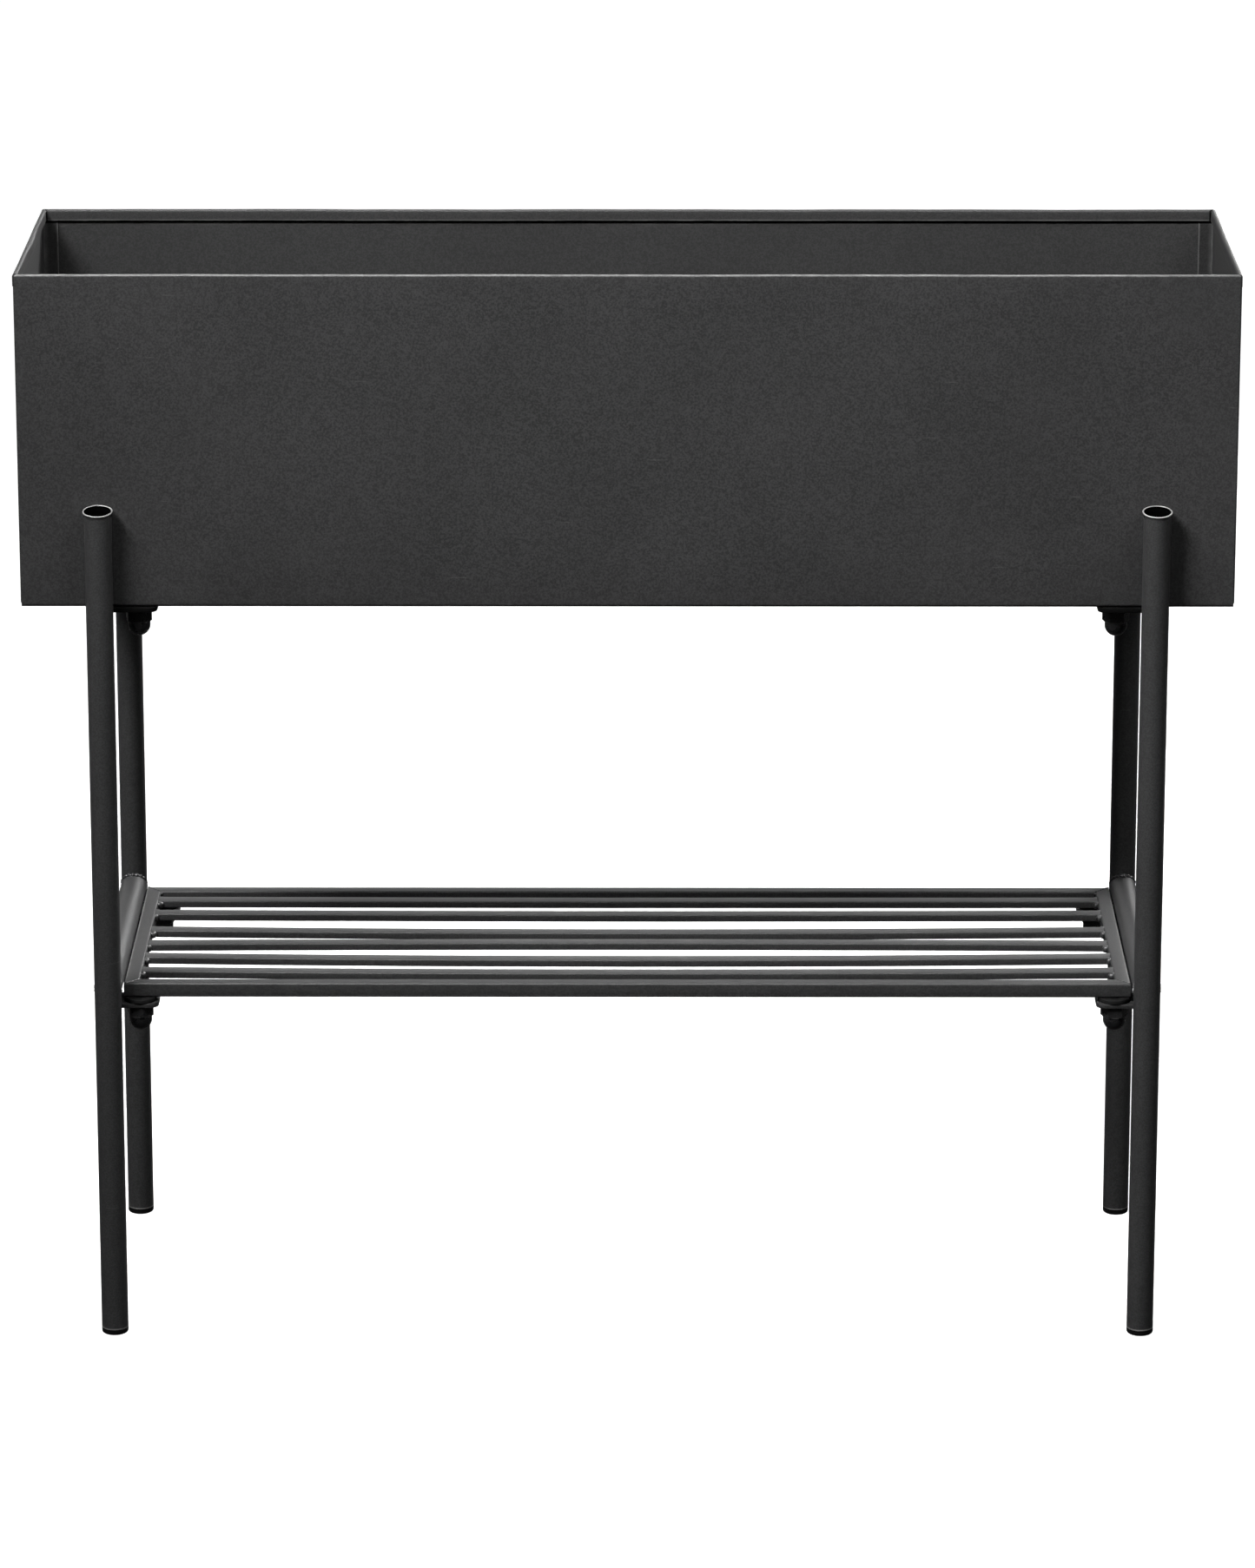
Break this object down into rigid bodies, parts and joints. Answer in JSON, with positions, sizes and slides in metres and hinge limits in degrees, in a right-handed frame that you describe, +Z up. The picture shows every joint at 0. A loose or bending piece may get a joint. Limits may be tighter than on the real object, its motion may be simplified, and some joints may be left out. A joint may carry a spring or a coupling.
{
  "type": "raised planter",
  "caption": "Long rectangular planter trough raised on round tube legs, open at the top, with a slatted shelf bolted between the legs.",
  "frame": {"origin": "centre of the footprint on the floor", "axes": "+X along the trough to the right as seen from the front, +Y to the rear, +Z up; the front faces -Y"},
  "size_m": [0.8, 0.25, 0.73],
  "materials": {
    "powder_coat": "fine matt black powder coat",
    "black_fastener": "satin black finish on steel fasteners",
    "foot_plastic": "moulded black plastic",
    "spacer_rubber": "matt black rubber"
  },
  "bodies": {
    "root": {"trough_wrap": "powder_coat", "trough_left_end": "powder_coat", "trough_right_end": "powder_coat", "front_left_leg": "powder_coat", "front_right_leg": "powder_coat", "rear_left_leg": "powder_coat", "rear_right_leg": "powder_coat", "front_left_foot_plug": "foot_plastic", "front_right_foot_plug": "foot_plastic", "rear_left_foot_plug": "foot_plastic", "rear_right_foot_plug": "foot_plastic", "left_cross_tube": "powder_coat", "right_cross_tube": "powder_coat", "front_left_trough_tab": "powder_coat", "front_right_trough_tab": "powder_coat", "rear_left_trough_tab": "powder_coat", "rear_right_trough_tab": "powder_coat", "front_left_shelf_tab": "powder_coat", "front_right_shelf_tab": "powder_coat", "rear_left_shelf_tab": "powder_coat", "rear_right_shelf_tab": "powder_coat", "shelf_front_rail": "powder_coat", "shelf_rear_rail": "powder_coat", "shelf_left_rail": "powder_coat", "shelf_right_rail": "powder_coat", "shelf_slat_1": "powder_coat", "shelf_slat_2": "powder_coat", "shelf_slat_3": "powder_coat", "shelf_slat_4": "powder_coat", "shelf_slat_5": "powder_coat", "shelf_slat_6": "powder_coat", "trough_bolts": "black_fastener", "trough_washers": "black_fastener", "trough_cap_nuts": "black_fastener", "shelf_studs": "black_fastener", "shelf_spacers": "spacer_rubber", "shelf_cap_nuts": "black_fastener"}
  },
  "joints": []
}
